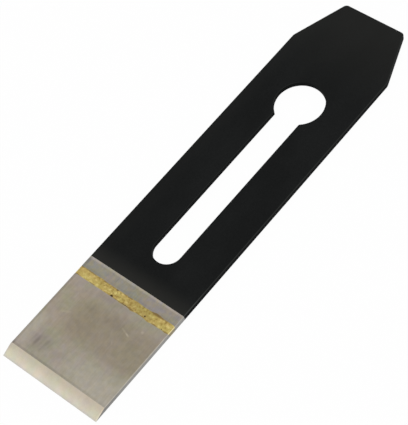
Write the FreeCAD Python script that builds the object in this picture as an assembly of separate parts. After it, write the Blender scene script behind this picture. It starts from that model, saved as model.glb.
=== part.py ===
"""A bench plane's iron: a black-finished steel blank with a keyhole slot, and a hardened tip brazed on.

Lengths are in millimetres and angles in degrees. While the iron is shaped, Y runs from the cutting edge
to the tail, X across the iron, and Z up from the flat back to the bevel side. The finished pieces are
then moved so that the origin is at the middle of the back.
"""
import FreeCAD
import Part

import math
import os

from FreeCAD import Vector

# Blank
iron_width = 44.0
iron_length = 189.6
thickness = 2.3
tail_width = 27.1
tail_length = 22.7
tail_corner_radius = 1.8
shoulder_radius = 4.0
face_arris = 0.3
back_arris = 0.15

# Keyhole, placed from the cutting edge
slot_width = 11.5
slot_end_centre = 64.7
hole_radius = 9.8
hole_centre = 141.8
throat_radius = 0.6
keyhole_arris = 0.12

# Front end, ground bare on both faces up to the black finish
finish_line = 47.4
ground_depth = 0.03
ground_run_out = 0.25

# Bevel and cutting edge
bevel_angle = 22.8
edge_land = 0.1

# Braze groove, a V that is widest at the bevel side
seam_centre = 40.55
seam_back_width = 2.3
groove_angle = 30.0

# How far a cutting shape reaches past the faces that it cuts
overshoot = 1.0

# Two heights or places closer than this are the same
same = 1e-4


def rounded_outline(corners):
    """A closed wire through (x, y, radius) corners, with an arc at each corner that has a radius."""
    bends = []
    for index, (x, y, radius) in enumerate(corners):
        last_x, last_y, _ = corners[index - 1]
        next_x, next_y, _ = corners[(index + 1) % len(corners)]
        corner = Vector(x, y, 0)
        to_last = (Vector(last_x, last_y, 0) - corner).normalize()
        to_next = (Vector(next_x, next_y, 0) - corner).normalize()
        inward = (to_last + to_next).normalize()
        half_angle = to_last.getAngle(to_next) / 2
        leg = radius / math.tan(half_angle)
        middle = corner + inward * (radius / math.sin(half_angle) - radius)
        bends.append((corner + to_last * leg, middle, corner + to_next * leg, radius))

    edges = []
    for index, (start, middle, finish, radius) in enumerate(bends):
        next_start = bends[(index + 1) % len(bends)][0]
        if radius > 0:
            edges.append(Part.Arc(start, middle, finish).toShape())
        edges.append(Part.makeLine(finish, next_start))
    return Part.Wire(edges)


def blank_outline():
    """Straight sides, then a tail that narrows from two shoulders to a square end."""
    side = iron_width / 2
    tail = tail_width / 2
    shoulder = iron_length - tail_length
    return rounded_outline([
        (-side, 0, 0),
        (side, 0, 0),
        (side, shoulder, shoulder_radius),
        (tail, iron_length, tail_corner_radius),
        (-tail, iron_length, tail_corner_radius),
        (-side, shoulder, shoulder_radius),
    ])


def keyhole_outline():
    """A round-ended slot that opens into a hole, with its two throat corners rounded.

    Each throat arc touches the slot's side and the hole's wall, and its centre is in the metal.
    """
    half = slot_width / 2
    throat_x = half + throat_radius
    drop = math.sqrt((hole_radius + throat_radius) ** 2 - throat_x**2)
    throat = Vector(throat_x, hole_centre - drop, 0)
    to_slot = Vector(-1, 0, 0)
    to_hole = (Vector(0, hole_centre, 0) - throat).normalize()

    slot_start = Vector(half, slot_end_centre, 0)
    slot_finish = throat + to_slot * throat_radius
    throat_middle = throat + (to_slot + to_hole).normalize() * throat_radius
    hole_start = throat + to_hole * throat_radius
    slot_bottom = Vector(0, slot_end_centre - half, 0)
    hole_top = Vector(0, hole_centre + hole_radius, 0)

    def mirrored(point):
        return Vector(-point.x, point.y, point.z)

    return Part.Wire([
        Part.Arc(mirrored(slot_start), slot_bottom, slot_start).toShape(),
        Part.makeLine(slot_start, slot_finish),
        Part.Arc(slot_finish, throat_middle, hole_start).toShape(),
        Part.Arc(hole_start, hole_top, mirrored(hole_start)).toShape(),
        Part.Arc(mirrored(hole_start), mirrored(throat_middle), mirrored(slot_finish)).toShape(),
        Part.makeLine(mirrored(slot_finish), mirrored(slot_start)),
    ])


def through_plate(outline):
    """The outline's shape through the full thickness."""
    return Part.Face(outline).extrude(Vector(0, 0, thickness))


def face_at(solid, height):
    """The solid's largest level face at a height."""
    level = []
    for face in solid.Faces:
        box = face.BoundBox
        if abs(box.ZMin - height) < same and abs(box.ZMax - height) < same:
            level.append(face)
    return max(level, key=lambda face: face.Area)


def break_outer_arris(solid, height, size):
    """Chamfers a face's outer edges, but not the front one, where the cutting edge is made."""
    edges = [edge for edge in face_at(solid, height).OuterWire.Edges if edge.BoundBox.YMax > same]
    return solid.makeChamfer(size, edges)


def break_keyhole_arris(solid, height, size):
    """Chamfers the edges of the keyhole in one face."""
    face = face_at(solid, height)
    holes = [wire for wire in face.Wires if not wire.isSame(face.OuterWire)]
    edges = [edge for wire in holes for edge in wire.Edges]
    return solid.makeChamfer(size, edges)


def across(*section):
    """A solid that runs right across the iron and past its sides, from a section's (y, z) points."""
    start = -iron_width / 2 - overshoot
    corners = [Vector(start, y, z) for y, z in section]
    face = Part.Face(Part.makePolygon(corners + corners[:1]))
    return face.extrude(Vector(iron_width + 2 * overshoot, 0, 0))


def ground_skim(face_height, outward):
    """What grinding takes off one face of the front end: a thin skim that runs out at the black finish."""
    ground = face_height - outward * ground_depth
    clear = face_height + outward * overshoot
    return across(
        (-overshoot, ground),
        (finish_line - ground_run_out, ground),
        (finish_line, face_height),
        (finish_line, clear),
        (-overshoot, clear),
    )


def bevel_waste():
    """What the bevel takes off, down to a narrow land above the flat back."""
    slope = math.tan(math.radians(bevel_angle))
    edge_top = ground_depth + edge_land
    clear = thickness + overshoot
    return across(
        (-overshoot, edge_top - overshoot * slope),
        ((clear - edge_top) / slope, clear),
        (-overshoot, clear),
    )


def ground_iron():
    """The whole iron in one: it is ground, drilled and bevelled after its pieces are joined."""
    iron = through_plate(blank_outline())
    iron = break_outer_arris(iron, thickness, face_arris)
    iron = break_outer_arris(iron, 0, back_arris)
    iron = iron.cut(through_plate(keyhole_outline()))
    iron = break_keyhole_arris(iron, thickness, keyhole_arris)
    iron = break_keyhole_arris(iron, 0, keyhole_arris)
    iron = iron.cut([ground_skim(thickness, 1), ground_skim(0, -1)])
    return iron.cut(bevel_waste())


def flank(side, height):
    """How far from the cutting edge the groove's front (-1) or rear (+1) flank is, at a height."""
    lean = math.tan(math.radians(groove_angle / 2))
    return seam_centre + side * (seam_back_width / 2 + height * lean)


def cutting_tip(iron):
    """The hardened end piece, from the cutting edge to the groove's front flank."""
    low, high = -overshoot, thickness + overshoot
    zone = across((-overshoot, low), (flank(-1, low), low), (flank(-1, high), high), (-overshoot, high))
    return iron.common(zone)


def braze_seam(iron):
    """The filler, which fills the groove and is ground flush with both faces."""
    low, high = -overshoot, thickness + overshoot
    zone = across((flank(-1, low), low), (flank(1, low), low), (flank(1, high), high), (flank(-1, high), high))
    return iron.common(zone)


def iron_body(iron):
    """The blank behind the groove's rear flank, with the keyhole and the tail."""
    low, high = -overshoot, thickness + overshoot
    beyond = iron_length + overshoot
    zone = across((flank(1, low), low), (beyond, low), (beyond, high), (flank(1, high), high))
    return iron.common(zone)


def main():
    os.makedirs("parts", exist_ok=True)
    iron = ground_iron()
    pieces = {
        "iron_body": iron_body(iron),
        "braze_seam": braze_seam(iron),
        "cutting_tip": cutting_tip(iron),
    }
    for name, piece in pieces.items():
        solid = piece.Solids[0]
        solid.translate(Vector(0, -iron_length / 2, 0))
        solid.exportStep(f"parts/{name}.step")
        print(f"{name}: {len(piece.Solids)} solid, valid {solid.isValid()}, {solid.Volume:.1f} mm3")


main()
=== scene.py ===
"""Looks of the plane iron: its finishes, a braze seam with ragged borders and pits, studio and camera.

Lengths are in metres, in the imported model's frame: Y runs from the cutting edge to the tail, and Z up
from the flat back. The places and sizes of marks and pits are easier to read in millimetres across the
iron and from its cutting edge, so those lists are in millimetres, and are turned into metres where they
are used.
"""

import math
import random

import bpy
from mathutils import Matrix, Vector, noise


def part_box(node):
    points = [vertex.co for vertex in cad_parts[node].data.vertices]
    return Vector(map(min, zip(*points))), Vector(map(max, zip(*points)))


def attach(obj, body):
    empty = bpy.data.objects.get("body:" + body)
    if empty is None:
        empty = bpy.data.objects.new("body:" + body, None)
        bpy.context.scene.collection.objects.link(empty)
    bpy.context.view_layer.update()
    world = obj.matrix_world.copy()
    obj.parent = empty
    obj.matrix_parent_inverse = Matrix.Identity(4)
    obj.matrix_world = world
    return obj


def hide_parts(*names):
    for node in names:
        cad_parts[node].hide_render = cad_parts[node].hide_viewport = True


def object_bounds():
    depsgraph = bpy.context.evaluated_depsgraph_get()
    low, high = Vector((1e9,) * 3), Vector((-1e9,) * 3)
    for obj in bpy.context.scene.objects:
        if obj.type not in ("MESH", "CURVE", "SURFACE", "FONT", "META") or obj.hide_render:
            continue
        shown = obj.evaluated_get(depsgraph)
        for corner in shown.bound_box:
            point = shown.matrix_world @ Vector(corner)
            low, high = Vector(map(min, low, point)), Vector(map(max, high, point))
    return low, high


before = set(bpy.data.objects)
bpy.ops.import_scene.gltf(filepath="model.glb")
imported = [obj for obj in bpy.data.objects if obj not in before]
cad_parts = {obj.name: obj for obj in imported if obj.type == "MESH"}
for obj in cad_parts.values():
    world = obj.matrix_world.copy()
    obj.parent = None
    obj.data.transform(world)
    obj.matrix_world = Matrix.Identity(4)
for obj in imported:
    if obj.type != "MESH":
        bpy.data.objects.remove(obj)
cad_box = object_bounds()

MM = 0.001

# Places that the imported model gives
low, high = cad_box
EDGE_Y = low.y
TAIL_Y = high.y
HALF_WIDTH = high.x
FACE = high.z
seam_low, seam_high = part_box("braze_seam")
GROUND_FACE = seam_high.z
GROUND_BACK = seam_low.z
SEAM_Y = (seam_low.y + seam_high.y) / 2
HALF_SEAM = (seam_high.y - seam_low.y) / 2

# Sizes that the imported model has: the finish line, the bevel, the broken arrises and the groove
FINISH_LINE = EDGE_Y + 47.4 * MM
BEVEL_LENGTH = 5.09 * MM
FACE_ARRIS = 0.3 * MM
BACK_ARRIS = 0.15 * MM
GROOVE_LEAN = math.tan(math.radians(15))

# Colours as they look, from 0 to 255
STEEL_PINK = (156, 146, 137)
STEEL_OLIVE = (151, 147, 129)
# Broad patches on the face: partly stains, partly painted reflection
STEEL_WARM = (139, 129, 111)
STEEL_PALE = (168, 161, 149)
STEEL_SIDE = (147, 145, 141)
# The steel's arrises: a painted highlight on the right, and painted shade on the left
STEEL_ARRIS_HIGHLIGHT = (176, 171, 160)
STEEL_ARRIS_SHADE_LEFT = (118, 116, 110)
BEVEL_AT_CREST = (183, 175, 157)
BEVEL_AT_EDGE = (203, 197, 180)
COAT = (28, 29, 29)
# Lighter black: where rubbed next to the bare steel, and towards the tail and on the left
COAT_LIGHTER = (44, 44, 42)
# The finish's side faces, painted shade, and its right arris, a painted highlight
COAT_WALL_SHADE = (22, 23, 23)
COAT_ARRIS_HIGHLIGHT = (46, 47, 46)
BRASS = (180, 160, 95)
BRASS_PALE = (202, 184, 117)
BRASS_BROWN = (142, 116, 59)
BRASS_DARK = (122, 102, 66)
# The seam's arrises, a painted highlight, and its two ends, painted shade
BRASS_ARRIS_HIGHLIGHT = (220, 206, 156)
BRASS_SIDE_SHADE = (144, 133, 106)
PIT = (78, 61, 32)

COAT_ROUGHNESS = 0.6

# Changes of tone and hue, as factors on a colour: for patches, then for places
PINKER = (1.02, 0.98, 1.01, 1.0)
OLIVER = (0.98, 1.01, 0.97, 1.0)
YELLOWER = (1.01, 1.0, 0.965, 1.0)
BLUER = (0.99, 1.0, 1.035, 1.0)
BRASSIER = (1.05, 1.02, 0.90, 1.0)
COOLER = (0.96, 0.975, 1.04, 1.0)
MIDDLE_LEFT = (1.01, 1.0, 0.94, 1.0)
BEHIND_SEAM = (0.86, 0.89, 0.925, 1.0)
STRIP_LEFT_END = (1.025, 1.0, 1.065, 1.0)
# The bevel's rim: painted shade, cooler as a painted reflection of the white surround
BEVEL_RIM_SHADE = (0.90, 0.915, 0.99, 1.0)

WHITE = (1.0, 1.0, 1.0, 1.0)

# Marks on the ground face: across, from the edge, half length, half width, turn in degrees from the
# iron's length, and the change in tone
MARKS = [
    (-14.9, 10.9, 4.4, 1.20, -3, -0.25),
    (-13.2, 9.9, 2.8, 0.80, -5, -0.09),
    (-11.1, 11.8, 3.8, 1.00, -8, -0.16),
    (-9.5, 11.6, 3.0, 0.90, -8, -0.10),
    (-11.6, 8.6, 1.0, 0.80, 0, -0.12),
    (-13.0, 13.2, 2.4, 1.20, -30, -0.09),
    (-16.5, 11.8, 2.4, 0.80, -5, -0.12),
    (10.1, 30.5, 1.5, 0.54, 68, 0.46),
    (8.0, 31.2, 2.4, 0.50, 72, 0.20),
    (14.1, 34.2, 1.0, 0.85, 60, 0.28),
    (7.7, 25.1, 1.3, 0.40, 35, 0.15),
    (5.3, 27.5, 2.2, 0.60, 25, 0.06),
    (-13.9, 25.2, 2.8, 0.65, -65, 0.14),
    (-7.2, 31.2, 2.2, 2.00, 0, -0.07),
    (-10.4, 24.4, 4.0, 1.60, 80, -0.07),
    (18.2, 19.6, 3.2, 2.60, 30, -0.07),
    (6.2, 19.4, 2.2, 1.60, 0, -0.06),
    (-17.0, 24.2, 2.0, 1.50, 0, -0.08),
    (0.5, 30.5, 2.0, 1.60, 0, -0.05),
    (4.5, 31.5, 5.5, 6.50, 0, -0.09),
    (15.5, 28.0, 2.6, 1.80, 0, -0.05),
    (-4.5, 37.6, 2.6, 12.0, 0, -0.10),
    (-4.5, 33.8, 2.4, 4.50, 0, 0.06),
    (-4.5, 10.6, 3.0, 6.00, 0, -0.09),
    (-19.3, 11.0, 3.0, 2.00, 0, -0.06),
    (-21.0, 45.2, 2.6, 1.10, 0, -0.20),
    (-7.0, 45.0, 2.4, 0.30, -4, -0.12),
    (1.5, 45.0, 4.0, 13.0, 0, -0.045),
    (-22.0, 5.8, 1.8, 1.60, 0, -0.22),
]
# The smudge round the dark marks: across, from the edge, half width and half length
SMUDGE = (-13.3, 11.2, 7.0, 6.5)

# How strongly the face's broad brown and pale patches show, partly stains and partly painted reflection
STAIN_AND_REFLECTION_STRENGTH = 0.72

# Where the filler has crept over the front and rear borders: across, reach and width
FRONT_CREEP = [
    (-0.5, 0.12, 2.0), (4.8, 0.36, 1.3), (12.4, 0.40, 1.6), (15.8, 0.20, 1.3), (20.4, 0.22, 1.2),
]
REAR_CREEP = [
    (-18.0, 0.18, 4.0), (-11.5, 0.14, 2.0), (-7.0, -0.12, 2.0), (1.0, 0.08, 2.0), (5.0, 0.15, 2.0),
    (13.9, 0.56, 2.2), (19.0, 0.26, 3.0),
]

# Pits in the filler: across, from the edge, half length, half width and depth
PITS = [
    (-4.7, 39.18, 0.60, 0.38, 0.35),
    (-4.4, 42.10, 0.55, 0.24, 0.16),
    (10.5, 39.60, 0.48, 0.52, 0.16),
    (0.8, 42.15, 0.60, 0.20, 0.10),
    (8.0, 42.30, 0.55, 0.20, 0.10),
    (1.6, 39.00, 2.40, 0.16, 0.16),
    (18.6, 39.10, 0.34, 0.26, 0.15),
]

# Brown stains in the filler: across, from the edge, half length, half width and strength
BRASS_STAINS = [
    (-10.4, 41.3, 3.8, 0.9, 0.45),
    (-1.6, 40.1, 0.9, 0.6, 0.50),
    (3.1, 41.25, 0.8, 0.7, 0.60),
    (6.8, 41.5, 0.8, 0.6, 0.40),
    (10.6, 39.7, 1.0, 0.9, 0.45),
    (12.6, 39.8, 0.8, 0.6, 0.40),
    (13.8, 42.4, 3.2, 1.1, 1.00),
    (-8.0, 40.8, 1.5, 1.4, 0.35),
    (-4.5, 39.4, 0.9, 0.6, 0.50),
    (-4.5, 41.9, 1.0, 0.6, 0.50),
    (1.8, 38.95, 3.4, 0.6, 1.00),
    (-21.4, 40.6, 1.0, 2.4, 0.40),
]

# Darker stains at its rear border, in the same form
DARK_STAINS = [
    (14.4, 42.45, 1.1, 0.55, 1.0),
    (12.7, 42.45, 0.9, 0.50, 0.6),
    (10.6, 42.40, 0.8, 0.40, 0.5),
]

# Pinholes between the pits: how many, and the ranges of their places, half sizes and depths
PINHOLES = 60
PINHOLES_ACROSS = (-21.3, 21.3)
PINHOLES_FROM_EDGE = (39.0, 42.2)
PINHOLE_SIZES = (0.07, 0.16)
PINHOLE_DEPTHS = (0.02, 0.08)

# The seam's mesh: how far apart its sections are, and the rows of points along each one's top
STEP_ALONG = 0.1
ROWS = 44

# The filler's film on the steel, in millimetres: how thick it is, how far its rim and its root are sunk
# into the steel, its usual and least reach, and where it fades out towards the iron's sides
FILM = 0.012
RIM_SUNK = 0.004
ROOT_SUNK = 0.02
USUAL_REACH = 0.03
LEAST_REACH = 0.005
FADE_LENGTH = 0.8

# The studio: where the floor is and how far it reaches, how much light it sends back, what share of it
# glows for the camera, and how strongly the surround lights the iron
FLOOR_DROP = 0.02 * MM
FLOOR_HALF = 3.0
FLOOR_ALBEDO = 0.9
FLOOR_GLOW = 0.97
SURROUND_LIGHT = 0.85


def linear(rgb):
    """A colour as it looks, 0 to 255, as the linear colour that shaders take."""
    out = []
    for value in rgb:
        share = value / 255
        out.append(share / 12.92 if share <= 0.04045 else ((share + 0.055) / 1.055) ** 2.4)
    return (*out, 1.0)


def place(x, y):
    """A place on the ground face, from millimetres across the iron and from its cutting edge."""
    return Vector((x * MM, EDGE_Y + y * MM, GROUND_FACE))


class Shader:
    """A material's node tree, built up by short calls that return output sockets."""

    def __init__(self, name):
        self.material = bpy.data.materials.new(name)
        self.material.use_nodes = True
        self.tree = self.material.node_tree
        self.surface = self.tree.nodes["Principled BSDF"]
        where = self.tree.nodes.new("ShaderNodeTexCoord")
        self.position = where.outputs["Object"]
        self.normal = where.outputs["Normal"]

    def feed(self, socket, value):
        """Links a socket to a value that is one too, and otherwise sets it."""
        if isinstance(value, bpy.types.NodeSocket):
            self.tree.links.new(value, socket)
        else:
            socket.default_value = value

    def node(self, kind, settings=None, **inputs):
        """A node with its settings, and its inputs given by name as a socket or a value."""
        made = self.tree.nodes.new(kind)
        for key, value in (settings or {}).items():
            setattr(made, key, value)
        for key, value in inputs.items():
            self.feed(made.inputs[key.replace("_", " ")], value)
        return made

    def maths(self, operation, *values):
        """What an operation makes of sockets or numbers."""
        made = self.node("ShaderNodeMath", {"operation": operation})
        for socket, value in zip(made.inputs, values):
            self.feed(socket, value)
        return made.outputs[0]

    def times(self, *values):
        """The product of sockets or numbers."""
        product = values[0]
        for value in values[1:]:
            product = self.maths("MULTIPLY", product, value)
        return product

    def axis(self, letter):
        """How far along an axis the surface lies."""
        return self.node("ShaderNodeSeparateXYZ", Vector=self.position).outputs[letter]

    def facing(self, letter):
        """How far the surface faces along an axis."""
        return self.node("ShaderNodeSeparateXYZ", Vector=self.normal).outputs[letter]

    def noise(self, scale, detail=2, shift=(0, 0, 0)):
        """Noise from 0 to 1. The scale is in spots per metre along X, Y and Z."""
        moved = self.node("ShaderNodeMapping", Vector=self.position, Scale=scale, Location=shift)
        made = self.node("ShaderNodeTexNoise", Vector=moved.outputs[0], Scale=1.0, Detail=detail)
        return made.outputs["Fac"]

    def span(self, value, start, finish, low=0.0, high=1.0):
        """The value carried smoothly from one range to another, and held at its ends."""
        made = self.node("ShaderNodeMapRange", {"interpolation_type": "SMOOTHSTEP"}, Value=value)
        made.inputs["To Min"].default_value = low
        made.inputs["To Max"].default_value = high
        self.feed(made.inputs["From Min"], start)
        self.feed(made.inputs["From Max"], finish)
        return made.outputs["Result"]

    def between(self, value, start, full, fade, end, low=0.0, high=1.0):
        """High where the value lies from full to fade, falling smoothly to low at its start and end."""
        rise = self.times(self.span(value, start, full), self.span(value, end, fade))
        return self.maths("ADD", self.times(rise, high - low), low)

    def spread(self, value, change):
        """Noise turned into a factor about 1, up to the change either way."""
        return self.span(value, 0.3, 0.7, 1.0 - change, 1.0 + change)

    def blend(self, share, first, second, mode="MIX"):
        """The first colour where the share is 0, and the second, or the mode's result, where it is 1."""
        made = self.node("ShaderNodeMix", {"data_type": "RGBA", "blend_type": mode})
        colours = [socket for socket in made.inputs if socket.type == "RGBA"]
        for socket, value in zip((made.inputs["Factor"], *colours), (share, first, second)):
            self.feed(socket, value)
        return next(socket for socket in made.outputs if socket.type == "RGBA")

    def toned(self, colour, tone):
        """A colour made lighter or darker by a factor, or another hue by a factor for each channel."""
        return self.blend(1.0, colour, tone, "MULTIPLY")

    def patches(self, scale, detail=2, shift=(0, 0, 0)):
        """Soft patches of 0 and 1."""
        return self.span(self.noise(scale, detail, shift), 0.35, 0.65)

    def mottled(self, colour, first, second, patches):
        """A colour toned by the first factor between the patches, and by the second on them."""
        return self.toned(colour, self.blend(patches, first, second))

    def spot(self, x, y, half_x, half_y, turn=0.0):
        """1 at a place on the ground face, falling smoothly to 0 at an ellipse's edge, in millimetres."""
        made = self.node("ShaderNodeMapping", {"vector_type": "TEXTURE"}, Vector=self.position)
        made.inputs["Location"].default_value = place(x, y)
        made.inputs["Rotation"].default_value = (0, 0, math.radians(turn))
        made.inputs["Scale"].default_value = (half_x * MM, half_y * MM, 5 * MM)
        length = self.node("ShaderNodeVectorMath", {"operation": "LENGTH"}, Vector=made.outputs[0])
        return self.span(length.outputs["Value"], 1.0, 0.0)

    def bump(self, height, strength, distance):
        """The surface's normal, tilted by a relief of this height."""
        return self.node("ShaderNodeBump", Height=height, Strength=strength, Distance=distance).outputs[0]


def on_face(shader):
    """1 where the surface faces up, and 0 on the iron's sides and back."""
    return shader.span(shader.facing("Z"), 0.0, 0.5)


def on_side(shader):
    """1 on the iron's two long sides."""
    return shader.span(shader.maths("ABSOLUTE", shader.facing("X")), 0.75, 0.9)


def behind_seam(shader):
    """1 behind the seam and 0 on the tip, rising smoothly from the seam's middle."""
    return shader.span(shader.axis("Y"), SEAM_Y, SEAM_Y + 3 * MM)


def arris(shader):
    """1 on the broken edges of the iron's face, and 0 on its flat faces and sides."""
    return shader.between(shader.facing("Z"), 0.5, 0.6, 0.8, 0.9)


def stains_and_reflection(shader, colour):
    """Steel with the face's broad patches, partly stains and partly painted reflection: browner across
    the middle, and paler at the front and on the left.

    Its places are in millimetres across the iron and from its cutting edge.
    """
    across = shader.maths("DIVIDE", shader.axis("X"), MM)
    along = shader.maths("DIVIDE", shader.maths("SUBTRACT", shader.axis("Y"), EDGE_Y), MM)
    brown = shader.times(shader.between(along, 13, 22.5, 31, 39.5), shader.span(across, -18, -5))
    core = shader.spot(-6, 26.5, 9, 11)
    pale = shader.times(shader.span(along, 20, 9), shader.span(across, -11, 14))
    left = shader.times(shader.between(along, 2, 12, 17, 23.5), shader.span(across, -16, -19.5))
    middle_left = shader.times(shader.between(along, 14, 20, 33, 39), shader.span(across, 0, -12))
    colour = shader.blend(middle_left, colour, shader.toned(colour, MIDDLE_LEFT))
    # Browner and paler patches: partly stains, partly painted reflection
    for share, tint in ((brown, STEEL_WARM), (core, STEEL_WARM), (pale, STEEL_PALE), (left, STEEL_PALE)):
        colour = shader.blend(shader.times(share, STAIN_AND_REFLECTION_STRENGTH), colour, linear(tint))
    colour = shader.blend(shader.span(along, 39, 43), colour, shader.toned(colour, BEHIND_SEAM))
    beside_seam = shader.between(along, 42.3, 42.6, 43.0, 43.7, 1.0, 0.93)
    # A painted highlight in a line next to the finish line, on the ground skim's run-out
    highlight_beside_finish = shader.between(along, 46.2, 46.9, 47.4, 48, 1.0, 1.27)
    # Painted shade along the face's left rim
    shaded_left_rim = shader.span(across, -20.7, -21.2, 1.0, 0.86)
    return shader.toned(colour, shader.times(beside_seam, highlight_beside_finish, shaded_left_rim))


def steel_arris_light(shader):
    """The broken edges: a painted highlight on the right, painted shade on the left, darker behind the
    seam.
    """
    leftwards = shader.span(shader.facing("X"), -0.2, -0.6)
    colour = shader.blend(leftwards, linear(STEEL_ARRIS_HIGHLIGHT), linear(STEEL_ARRIS_SHADE_LEFT))
    return shader.blend(behind_seam(shader), colour, shader.toned(colour, BEHIND_SEAM))


def steel_colour(shader):
    """Steel in patches of hue, with stains and painted reflection, the strip behind the seam, arrises and
    sides.
    """
    plain = shader.blend(
        shader.patches((160, 160, 160), shift=(6, 2, 0)), linear(STEEL_PINK), linear(STEEL_OLIVE)
    )
    colour = shader.blend(on_face(shader), plain, stains_and_reflection(shader, plain))
    patches = shader.patches((480, 400, 480), detail=3, shift=(5, 8, 0))
    colour = shader.mottled(colour, YELLOWER, BLUER, patches)

    behind = behind_seam(shader)
    patches = shader.patches((750, 600, 750), detail=3, shift=(1, 3, 0))
    colour = shader.blend(behind, colour, shader.mottled(colour, BRASSIER, COOLER, patches))
    left_end = shader.times(behind, shader.span(shader.axis("X"), -9 * MM, -15 * MM))
    colour = shader.blend(left_end, colour, shader.toned(colour, STRIP_LEFT_END))

    # Painted highlight and painted shade on the arrises
    colour = shader.blend(shader.times(arris(shader), 0.8), colour, steel_arris_light(shader))
    side_tone = shader.span(shader.axis("Y"), EDGE_Y + 3 * MM, EDGE_Y + 18 * MM, 0.78, 1.0)
    return shader.blend(on_side(shader), colour, shader.toned(linear(STEEL_SIDE), side_tone))


def marks(shader, streak):
    """The tone of the smudge and the marks on the ground face, as a factor about 1."""
    face = on_face(shader)
    smear = shader.times(face, shader.spot(*SMUDGE), shader.span(streak, 0.35, 0.6, 0.08, 0.16))
    tone = shader.maths("SUBTRACT", 1.0, smear)
    for x, y, half_long, half_wide, turn, change in MARKS:
        mark = shader.times(face, shader.spot(x, y, half_wide, half_long, turn), change)
        tone = shader.times(tone, shader.maths("ADD", 1.0, mark))
    return tone


def steel_look(shader):
    """Colour, roughness and relief of surface-ground steel, as sockets."""
    line = shader.noise((9000, 220, 9000), shift=(3, 1, 0))
    streak = shader.noise((1500, 130, 1500))
    blotch = shader.noise((420, 420, 420), detail=3, shift=(1.7, 0.4, 0))
    lines = shader.times(shader.spread(line, 0.052), shader.spread(streak, 0.025))
    tone = shader.times(lines, shader.spread(blotch, 0.05), marks(shader, streak))
    colour = shader.toned(steel_colour(shader), tone)
    rough = shader.span(line, 0.3, 0.7, 0.40, 0.48)
    relief = shader.maths("ADD", line, shader.times(streak, 0.5))
    return colour, rough, relief


def bevel_colour(shader, from_edge):
    """The bevel: palest towards the cutting edge, with fine lines that run along it.

    At the edge and on the left its rim is cooler and darker, painted shade and a painted reflection of the
    white surround, and on the right it is paler, a painted highlight.
    """
    near_edge = shader.span(from_edge, BEVEL_LENGTH, 0.3 * MM)
    colour = shader.blend(near_edge, linear(BEVEL_AT_CREST), linear(BEVEL_AT_EDGE))
    patches = shader.patches((190, 190, 190), shift=(7, 3, 0))
    colour = shader.mottled(colour, PINKER, OLIVER, patches)
    patches = shader.patches((420, 420, 420), detail=3, shift=(4, 7, 0))
    colour = shader.mottled(colour, YELLOWER, BLUER, patches)

    across = shader.axis("X")
    # Painted shade and reflection at the cutting edge and on the left, and a painted highlight on the
    # right
    at_edge = shader.span(from_edge, 0.9 * MM, 0.15 * MM)
    shaded_left_rim = shader.span(across, -HALF_WIDTH + 0.9 * MM, -HALF_WIDTH + 0.2 * MM)
    rim_shade = shader.blend(shader.maths("MAXIMUM", at_edge, shaded_left_rim), WHITE, BEVEL_RIM_SHADE)
    right_rim_highlight = shader.span(across, HALF_WIDTH - 0.6 * MM, HALF_WIDTH - 0.3 * MM, 1.0, 1.16)
    rightwards = shader.span(across, -15 * MM, 18 * MM, 1.0, 0.965)
    colour = shader.toned(shader.toned(colour, rim_shade), shader.times(right_rim_highlight, rightwards))

    line = shader.noise((2200, 9000, 9000), shift=(9, 2, 0))
    cloud = shader.noise((260, 260, 260), shift=(2, 5, 0))
    return shader.toned(colour, shader.times(shader.spread(line, 0.04), shader.spread(cloud, 0.04)))


def ground_steel():
    """The tip: ground faces with a darker line behind the bevel's crest, and a brighter bevel."""
    shader = Shader("ground_steel")
    colour, rough, relief = steel_look(shader)
    from_edge = shader.maths("SUBTRACT", shader.axis("Y"), EDGE_Y)
    behind_crest = shader.span(from_edge, BEVEL_LENGTH + 1.1 * MM, BEVEL_LENGTH + 0.6 * MM)
    deep = shader.span(shader.axis("X"), 4 * MM, 16 * MM, -0.14, -0.06)
    crest_shade = shader.times(behind_crest, on_face(shader), deep)
    colour = shader.toned(colour, shader.maths("ADD", crest_shade, 1.0))
    on_bevel = shader.span(shader.facing("Y"), -0.2, -0.3)
    colour = shader.blend(on_bevel, colour, bevel_colour(shader, from_edge))
    shader.feed(shader.surface.inputs["Base Color"], colour)
    shader.feed(shader.surface.inputs["Roughness"], rough)
    shader.feed(shader.surface.inputs["Normal"], shader.bump(relief, 0.15, 0.004 * MM))
    shader.surface.inputs["Metallic"].default_value = 1.0
    return shader.material


def coat_colour(shader, grain):
    """The black finish: rubbed next to the bare steel, lighter towards the tail and on the left.

    Its right arris has a painted highlight. Its side faces, in the keyhole and round the outline, are
    blacker, a painted shade.
    """
    across = shader.axis("X")
    along = shader.axis("Y")
    cloud = shader.spread(shader.noise((70, 40, 70), detail=3, shift=(4, 4, 0)), 0.10)
    colour = shader.toned(linear(COAT), shader.times(cloud, shader.spread(grain, 0.22)))
    # Lighter where rubbed next to the bare steel, and towards the tail and on the left
    rubbed = shader.span(along, FINISH_LINE + 8 * MM, FINISH_LINE, 0.0, 0.85)
    towards_tail = shader.span(along, TAIL_Y - 45 * MM, TAIL_Y, 0.0, 0.45)
    left = shader.span(across, -15 * MM, -20 * MM, 0.0, 0.12)
    coat_lightening = shader.maths("ADD", shader.maths("MAXIMUM", rubbed, towards_tail), left)
    colour = shader.blend(coat_lightening, colour, linear(COAT_LIGHTER))

    # Painted shade: the side faces are painted blacker
    shaded_walls = shader.span(shader.maths("ABSOLUTE", shader.facing("Z")), 0.3, 0.1)
    colour = shader.blend(shaded_walls, colour, linear(COAT_WALL_SHADE))
    # Painted highlight on the right arris, stronger near the finish line
    lit_right_arris = shader.times(arris(shader), shader.span(shader.facing("X"), 0.2, 0.6))
    near_line = shader.span(along, FINISH_LINE + 16 * MM, FINISH_LINE + 3 * MM, 1.0, 1.9)
    return shader.blend(lit_right_arris, colour, shader.toned(linear(COAT_ARRIS_HIGHLIGHT), near_line))


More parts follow.
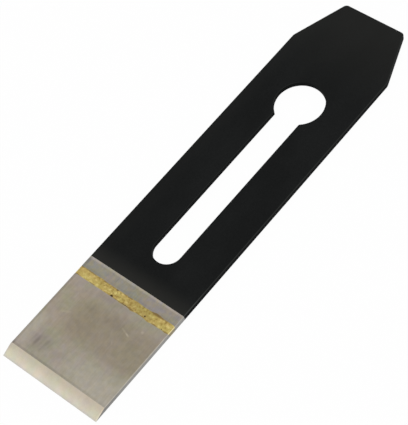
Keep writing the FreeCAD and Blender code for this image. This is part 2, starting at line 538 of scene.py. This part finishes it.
def black_finish():
    """The body: matt black, with bare ground steel in front of the finish line."""
    shader = Shader("black_finish")
    steel, steel_rough, steel_relief = steel_look(shader)
    fray = shader.span(shader.noise((3500, 400, 3500)), 0.3, 0.7, -0.05 * MM, 0.05 * MM)
    lean = shader.span(shader.axis("X"), 0.0, HALF_WIDTH, 0.0, 0.14 * MM)
    border = shader.maths("ADD", shader.maths("ADD", shader.axis("Y"), fray), lean)
    bare = shader.maths("LESS_THAN", border, FINISH_LINE)

    grain = shader.noise((5000, 5000, 5000), detail=3)
    colour = shader.blend(bare, coat_colour(shader, grain), steel)
    less_rough = shader.times(bare, shader.maths("SUBTRACT", steel_rough, COAT_ROUGHNESS))
    rough = shader.maths("ADD", less_rough, COAT_ROUGHNESS)
    relief = shader.maths("ADD", shader.times(bare, steel_relief), shader.times(grain, 0.5))
    shader.feed(shader.surface.inputs["Base Color"], colour)
    shader.feed(shader.surface.inputs["Metallic"], bare)
    shader.feed(shader.surface.inputs["Roughness"], rough)
    shader.feed(shader.surface.inputs["Normal"], shader.bump(relief, 0.15, 0.004 * MM))
    shader.surface.inputs["Specular IOR Level"].default_value = 0.01
    return shader.material


def brass_colour(shader, mottle):
    """The filler's mottled brass: darker right of the middle, and blotted brown except near its ends."""
    colour = shader.blend(shader.span(mottle, 0.5, 0.7), linear(BRASS), linear(BRASS_PALE))
    colour = shader.blend(shader.span(mottle, 0.46, 0.28, 0.0, 0.7), colour, linear(BRASS_BROWN))
    across = shader.axis("X")
    darker_right = shader.between(across, -1 * MM, 5 * MM, 12.4 * MM, 14 * MM, 1.02, 0.88)
    patches = shader.patches((240, 400, 240), shift=(3, 3, 8))
    colour = shader.mottled(shader.toned(colour, darker_right), PINKER, OLIVER, patches)
    in_middle = shader.span(shader.maths("ABSOLUTE", across), 17 * MM, 11 * MM)
    blots = shader.span(shader.noise((1000, 1300, 1000), shift=(8, 1, 3)), 0.5, 0.7, 0.0, 0.8)
    return shader.blend(shader.times(in_middle, blots), colour, linear(BRASS_BROWN))


def brass_stains(shader, colour):
    """The brass with its stains, and darker in places along its two borders."""
    for stains, tint in ((BRASS_STAINS, BRASS_BROWN), (DARK_STAINS, BRASS_DARK)):
        for x, y, half_long, half_wide, strength in stains:
            stain = shader.times(shader.spot(x, y, half_long, half_wide), strength)
            colour = shader.blend(stain, colour, linear(tint))
    from_middle = shader.maths("ABSOLUTE", shader.maths("SUBTRACT", shader.axis("Y"), SEAM_Y))
    border = shader.span(from_middle, HALF_SEAM - 0.45 * MM, HALF_SEAM - 0.05 * MM)
    dark = shader.span(shader.noise((300, 300, 300), detail=3, shift=(2, 9, 6)), 0.42, 0.62, 0.05, 0.75)
    return shader.blend(shader.times(border, dark), colour, linear(BRASS_DARK))


def in_pit(shader):
    """1 in a pit, where the surface is lower than the ground face and the two arrises."""
    from_middle = shader.maths("ABSOLUTE", shader.axis("X"))
    arris_top = shader.maths("SUBTRACT", FACE + HALF_WIDTH - FACE_ARRIS, from_middle)
    surface = shader.maths("MINIMUM", arris_top, GROUND_FACE)
    depth = shader.maths("SUBTRACT", surface, shader.axis("Z"))
    upwards = shader.span(shader.facing("Z"), 0.1, 0.3)
    return shader.times(shader.span(depth, 0.02 * MM, 0.12 * MM), upwards)


def braze_filler():
    """The seam: mottled brass with stains, painted shade on its ends, painted highlight on its arrises,
    dark pits.
    """
    shader = Shader("braze_filler")
    mottle = shader.noise((750, 750, 750), detail=3)
    fleck = shader.spread(shader.noise((2200, 2200, 2200), shift=(5, 5, 5)), 0.06)
    colour = shader.toned(brass_stains(shader, brass_colour(shader, mottle)), fleck)
    # Painted shade on the seam's two ends
    colour = shader.blend(on_side(shader), colour, shader.toned(linear(BRASS_SIDE_SHADE), fleck))
    # Painted highlight on the seam's arrises
    colour = shader.blend(shader.times(arris(shader), 0.9), colour, linear(BRASS_ARRIS_HIGHLIGHT))
    colour = shader.blend(in_pit(shader), colour, linear(PIT))
    shader.feed(shader.surface.inputs["Base Color"], colour)
    shader.feed(shader.surface.inputs["Roughness"], shader.span(mottle, 0.3, 0.7, 0.50, 0.40))
    shader.feed(shader.surface.inputs["Normal"], shader.bump(mottle, 0.15, 0.01 * MM))
    shader.surface.inputs["Metallic"].default_value = 0.9
    return shader.material


def swell(x, bumps):
    """How far a border has crept at x, all in millimetres, from (place, reach, width) bumps."""
    return sum(reach * math.exp(-(((x - at) / width) ** 2)) for at, reach, width in bumps)


def ragged(x, seed):
    """Small unevenness of a border, in millimetres."""
    return 0.06 * noise.noise((x * 1.1, seed, 0.5)) + 0.04 * noise.noise((x * 3.1, seed, 4.5))


def seam_height(x, y, pits):
    """The filler's surface above the ground steel, in millimetres. A pit ends at twice its half sizes."""
    height = FILM + 0.010 * noise.noise((x * 1.3, y * 1.3, 2.0))
    height += 0.006 * noise.noise((x * 4, y * 4, 7.0))
    for px, py, half_long, half_wide, depth in pits:
        reach = ((x - px) / half_long) ** 2 + ((y - py) / half_wide) ** 2
        if reach < 4:
            height -= depth * math.exp(-1.5 * reach)
    return height


def seam_pits():
    """The pits that the photograph shows, and small pinholes between them."""
    draw = random.Random(5)
    pinholes = []
    for _ in range(PINHOLES):
        size = draw.uniform(*PINHOLE_SIZES)
        x = draw.uniform(*PINHOLES_ACROSS)
        y = draw.uniform(*PINHOLES_FROM_EDGE)
        depth = draw.uniform(*PINHOLE_DEPTHS)
        pinholes.append((x, y, size, size, depth))
    return PITS + pinholes


def seam_stations():
    """Where the seam's sections are across the iron, closer together on the broken arrises."""
    half = HALF_WIDTH / MM
    inner = half - 0.4
    count = round(2 * inner / STEP_ALONG)
    even = [-inner + 2 * inner * i / count for i in range(count + 1)]
    ends = [half - 0.3, half - 0.27, half - 0.2, half - 0.1, half]
    return [-x for x in reversed(ends)] + even + ends


def seam_section(x, pits):
    """One closed loop of (y, z) points round the filler, in millimetres."""
    half = HALF_WIDTH / MM
    middle = (SEAM_Y - EDGE_Y) / MM
    half_top = HALF_SEAM / MM
    half_back = half_top - (GROUND_FACE - GROUND_BACK) / MM * GROOVE_LEAN
    ceiling = FACE / MM - max(0.0, abs(x) - (half - FACE_ARRIS / MM))
    base = max(GROUND_BACK / MM, abs(x) - (half - BACK_ARRIS / MM))
    top = GROUND_FACE / MM
    fade = min(1.0, (half - abs(x)) / FADE_LENGTH)
    front_reach = max(LEAST_REACH, USUAL_REACH + swell(x, FRONT_CREEP) + ragged(x, 1.0))
    rear_reach = max(LEAST_REACH, USUAL_REACH + swell(x, REAR_CREEP) + ragged(x, 9.0))
    front = middle - half_top - fade * front_reach
    rear = middle + half_top + fade * rear_reach
    loop = [(front, min(top - RIM_SUNK, ceiling))]
    for i in range(ROWS + 1):
        y = front + (rear - front) * (0.01 + 0.98 * i / ROWS)
        loop.append((y, min(top + seam_height(x, y, pits), ceiling)))
    loop.append((rear, min(top - RIM_SUNK, ceiling)))
    loop.append((middle + half_top, min(top - ROOT_SUNK, ceiling)))
    loop.append((middle + half_back, base))
    loop.append((middle - half_back, base))
    loop.append((middle - half_top, min(top - ROOT_SUNK, ceiling)))
    return loop


def braze_seam():
    """The filler, a solid that fills its groove, with a thin ragged film that has crept over the steel."""
    pits = seam_pits()
    stations = seam_stations()
    verts = []
    for x in stations:
        loop = seam_section(x, pits)
        verts += [(x * MM, EDGE_Y + y * MM, z * MM) for y, z in loop]
    size = len(loop)
    faces = []
    for i in range(len(stations) - 1):
        for j in range(size):
            k = (j + 1) % size
            faces.append((i * size + j, i * size + k, (i + 1) * size + k, (i + 1) * size + j))
    faces.append(tuple(range(size)))
    faces.append(tuple(reversed(range((len(stations) - 1) * size, len(stations) * size))))

    mesh = bpy.data.meshes.new("braze_seam_detail")
    mesh.from_pydata(verts, [], faces)
    mesh.validate()
    mesh.materials.append(braze_filler())
    piece = bpy.data.objects.new("braze_seam_detail", mesh)
    bpy.context.scene.collection.objects.link(piece)
    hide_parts("braze_seam")
    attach(piece, "root")


def dress_frame():
    """Gives the carried-over pieces their finish."""
    for name, material in (("iron_body", black_finish()), ("cutting_tip", ground_steel())):
        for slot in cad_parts[name].material_slots:
            slot.material = material


def seen_directly(tree):
    """1 for a ray from the camera, or one that a glossy or clear surface sends on, and otherwise 0."""
    rays = tree.nodes.new("ShaderNodeLightPath")
    share = rays.outputs["Is Camera Ray"]
    for name in ("Is Glossy Ray", "Is Transmission Ray"):
        either = tree.nodes.new("ShaderNodeMath")
        either.operation = "MAXIMUM"
        tree.links.new(share, either.inputs[0])
        tree.links.new(rays.outputs[name], either.inputs[1])
        share = either.outputs[0]
    return share


def floor():
    """A pale floor just under the iron's back, that looks white and keeps a faint shadow of the iron."""
    z = low.z - FLOOR_DROP
    ways = ((-1, -1), (1, -1), (1, 1), (-1, 1))
    corners = [(side * FLOOR_HALF, end * FLOOR_HALF, z) for side, end in ways]
    mesh = bpy.data.meshes.new("floor")
    mesh.from_pydata(corners, [], [(0, 1, 2, 3)])
    made = bpy.data.objects.new("floor", mesh)
    bpy.context.scene.collection.objects.link(made)
    material = bpy.data.materials.new("floor")
    material.use_nodes = True
    tree = material.node_tree
    matt = tree.nodes["Principled BSDF"]
    matt.inputs["Base Color"].default_value = (FLOOR_ALBEDO, FLOOR_ALBEDO, FLOOR_ALBEDO, 1)
    matt.inputs["Roughness"].default_value = 1.0
    matt.inputs["Specular IOR Level"].default_value = 0.0
    glow = tree.nodes.new("ShaderNodeEmission")
    glow.inputs["Color"].default_value = WHITE
    share = tree.nodes.new("ShaderNodeMath")
    share.operation = "MULTIPLY"
    share.inputs[1].default_value = FLOOR_GLOW
    tree.links.new(seen_directly(tree), share.inputs[0])
    mix = tree.nodes.new("ShaderNodeMixShader")
    tree.links.new(share.outputs[0], mix.inputs[0])
    tree.links.new(matt.outputs[0], mix.inputs[1])
    tree.links.new(glow.outputs[0], mix.inputs[2])
    tree.links.new(mix.outputs[0], tree.nodes["Material Output"].inputs["Surface"])
    mesh.materials.append(material)


def surround():
    """An even white world, a little dimmer as a light than it looks."""
    world = bpy.data.worlds.new("surround")
    world.use_nodes = True
    bpy.context.scene.world = world
    tree = world.node_tree
    light = tree.nodes["Background"]
    light.inputs["Color"].default_value = WHITE
    light.inputs["Strength"].default_value = SURROUND_LIGHT
    seen = tree.nodes.new("ShaderNodeBackground")
    seen.inputs["Color"].default_value = WHITE
    mix = tree.nodes.new("ShaderNodeMixShader")
    tree.links.new(seen_directly(tree), mix.inputs[0])
    tree.links.new(light.outputs[0], mix.inputs[1])
    tree.links.new(seen.outputs[0], mix.inputs[2])
    tree.links.new(mix.outputs[0], tree.nodes["World Output"].inputs["Surface"])


def lamp(name, direction, distance, size, power):
    """A square soft lamp that faces the middle of the iron."""
    data = bpy.data.lights.new(name, "AREA")
    data.size = size
    data.energy = power
    made = bpy.data.objects.new(name, data)
    bpy.context.scene.collection.objects.link(made)
    towards = Vector(direction).normalized()
    made.location = towards * distance
    made.rotation_euler = towards.to_track_quat("Z", "Y").to_euler()


def studio():
    """White floor and surround, with two soft lamps."""
    floor()
    surround()
    lamp("key", direction=(-0.45, -0.42, 0.8), distance=0.9, size=0.9, power=0.6)
    lamp("fill", direction=(0.83, 0.34, 0.45), distance=0.9, size=0.6, power=0.3)


def camera():
    """The photograph's viewpoint: high on the iron's right, ahead of the cutting edge, and rolled.

    The sensor's width lies along the longer side of the picture, which is its height.
    """
    aim = Vector((0.72 * MM, -10.54 * MM, 2.3 * MM))
    azimuth, elevation, roll = math.radians(52.487), math.radians(55.852), math.radians(15.79)
    distance = 545.64 * MM
    focal_px = 1521.6
    frame_px = 425
    data = bpy.data.cameras.new("camera")
    data.sensor_width = 36.0
    data.lens = focal_px / frame_px * data.sensor_width
    data.clip_start = 0.01
    data.clip_end = 10.0
    made = bpy.data.objects.new("camera", data)
    bpy.context.scene.collection.objects.link(made)
    back = Vector((
        math.sin(azimuth) * math.cos(elevation),
        -math.cos(azimuth) * math.cos(elevation),
        math.sin(elevation),
    ))
    level = Vector((0, 0, 1)).cross(back).normalized()
    upright = back.cross(level)
    right = level * math.cos(roll) - upright * math.sin(roll)
    up = upright * math.cos(roll) + level * math.sin(roll)
    turn = made.matrix_world.to_3x3()
    turn.col[0], turn.col[1], turn.col[2] = right, up, back
    made.matrix_world = turn.to_4x4()
    made.location = aim + back * distance
    bpy.context.scene.camera = made


dress_frame()
braze_seam()
studio()
camera()

bpy.context.scene.view_settings.view_transform = "Standard"
bpy.context.view_layer.update()
